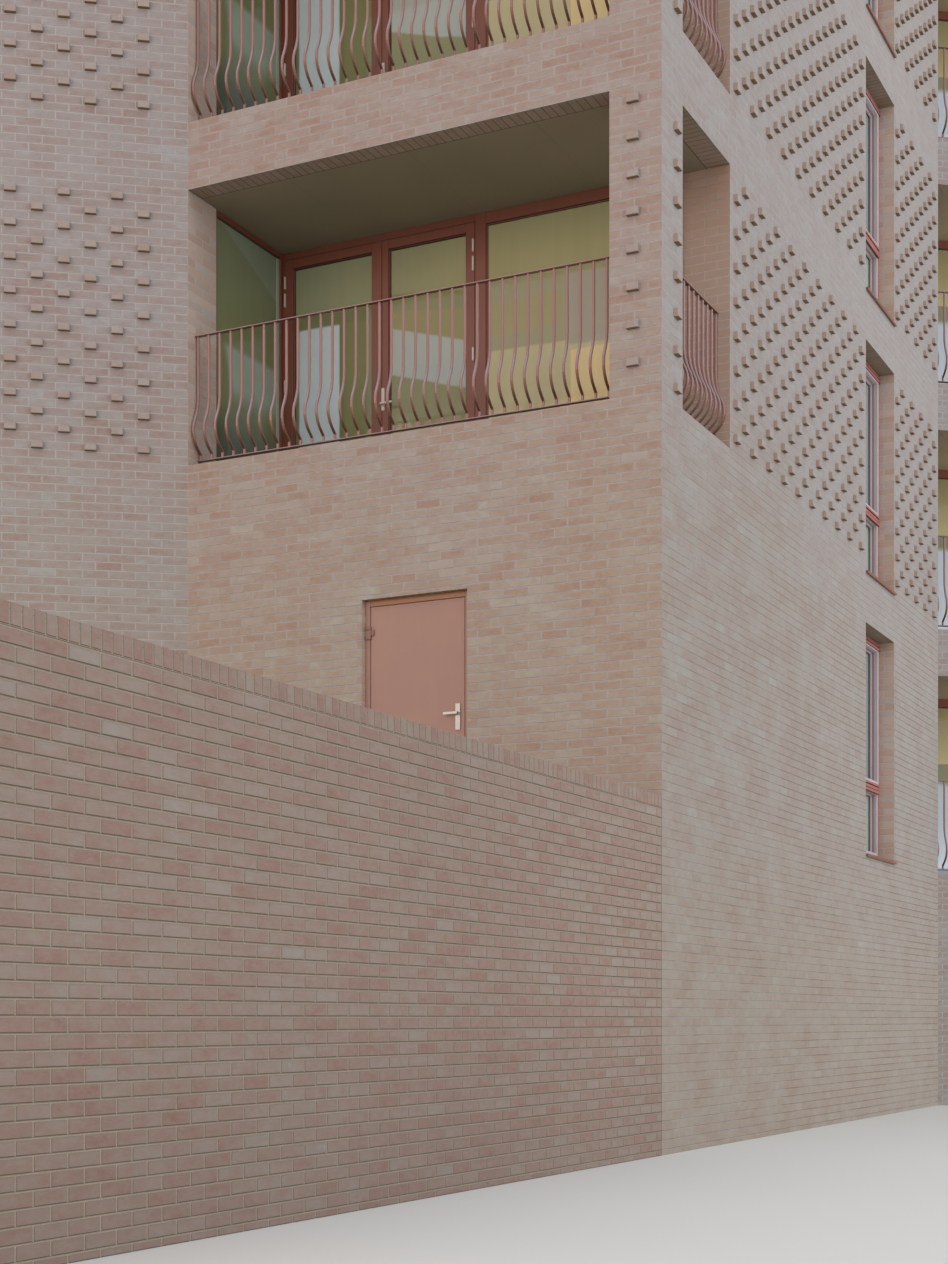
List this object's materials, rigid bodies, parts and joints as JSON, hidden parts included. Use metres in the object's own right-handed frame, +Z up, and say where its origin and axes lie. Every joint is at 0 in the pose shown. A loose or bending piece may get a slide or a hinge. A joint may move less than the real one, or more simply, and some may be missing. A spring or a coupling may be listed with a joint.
{
  "type": "apartment block",
  "caption": "Faceted brick apartment block with a square corner bay, stacked two-sided loggias with bellied balustrades, tall windows and a garden wall",
  "frame": {"origin": "middle of the plan's bounding box, at the lowest point where the brickwork meets the ground", "axes": "+Z up; the corner bay's front with the door faces -Y and its long side face faces +X"},
  "size_m": [20.067, 26.6606, 16.11],
  "materials": {
    "brick": "matt, buff pink brick with pale mortar",
    "garden_brick": "matt, darker red-brown brick",
    "concrete": "matt, cast",
    "soffit_paint": "matt olive brown board",
    "frame_paint": "satin oxide red",
    "glass": "clear, slightly green",
    "railing_paint": "satin dusty mauve red",
    "door_paint": "satin salmon pink",
    "steel": "brushed",
    "coping_paint": "satin oxide red"
  },
  "bodies": {
    "block": {"corner_pier": "brick", "front_wall_beside_door": "brick", "front_wall_at_door": "brick", "front_loggia_bands": "brick", "side_loggia_bands": "brick", "loggia_jamb": "brick", "side_wall_piers": "brick", "side_wall_spandrels": "brick", "left_wall_piers": "brick", "left_wall_spandrels": "brick", "far_wall_piers": "brick", "far_wall_spandrels": "brick", "back_wall_piers": "brick", "back_wall_spandrels": "brick", "flank_wall_piers": "brick", "flank_wall_spandrels": "brick", "end_wall_piers": "brick", "end_loggia_walls": "brick", "end_loggia_bands": "brick", "garden_wall": "garden_brick", "garden_wall_coping": "garden_brick", "west_floors": "concrete", "bay_floors": "concrete", "main_floors": "concrete", "bay_loggia_decks": "concrete", "end_loggia_decks": "concrete", "loggia_soffits": "soffit_paint", "loggia_rear_screens": "frame_paint", "loggia_side_screens": "frame_paint", "loggia_doors": "frame_paint", "end_loggia_screens": "frame_paint", "window_frames": "frame_paint", "window_sills": "frame_paint", "door_frame": "frame_paint", "loggia_glass": "glass", "end_loggia_glass": "glass", "window_glass": "glass", "front_balustrades": "railing_paint", "side_balustrades": "railing_paint", "end_balustrades": "railing_paint", "door_hinge_pins": "steel", "parapet_coping": "coping_paint"},
    "door": {"door_leaf": "door_paint", "door_hinges": "steel", "door_handles": "steel"}
  },
  "joints": [
    {"name": "door_swing", "type": "hinge", "parent": "block", "child": "door", "pos_m": [3.0283, -4.7313, 3.58], "axis": [0, 0, -1], "range_deg": [0, 90]}
  ]
}
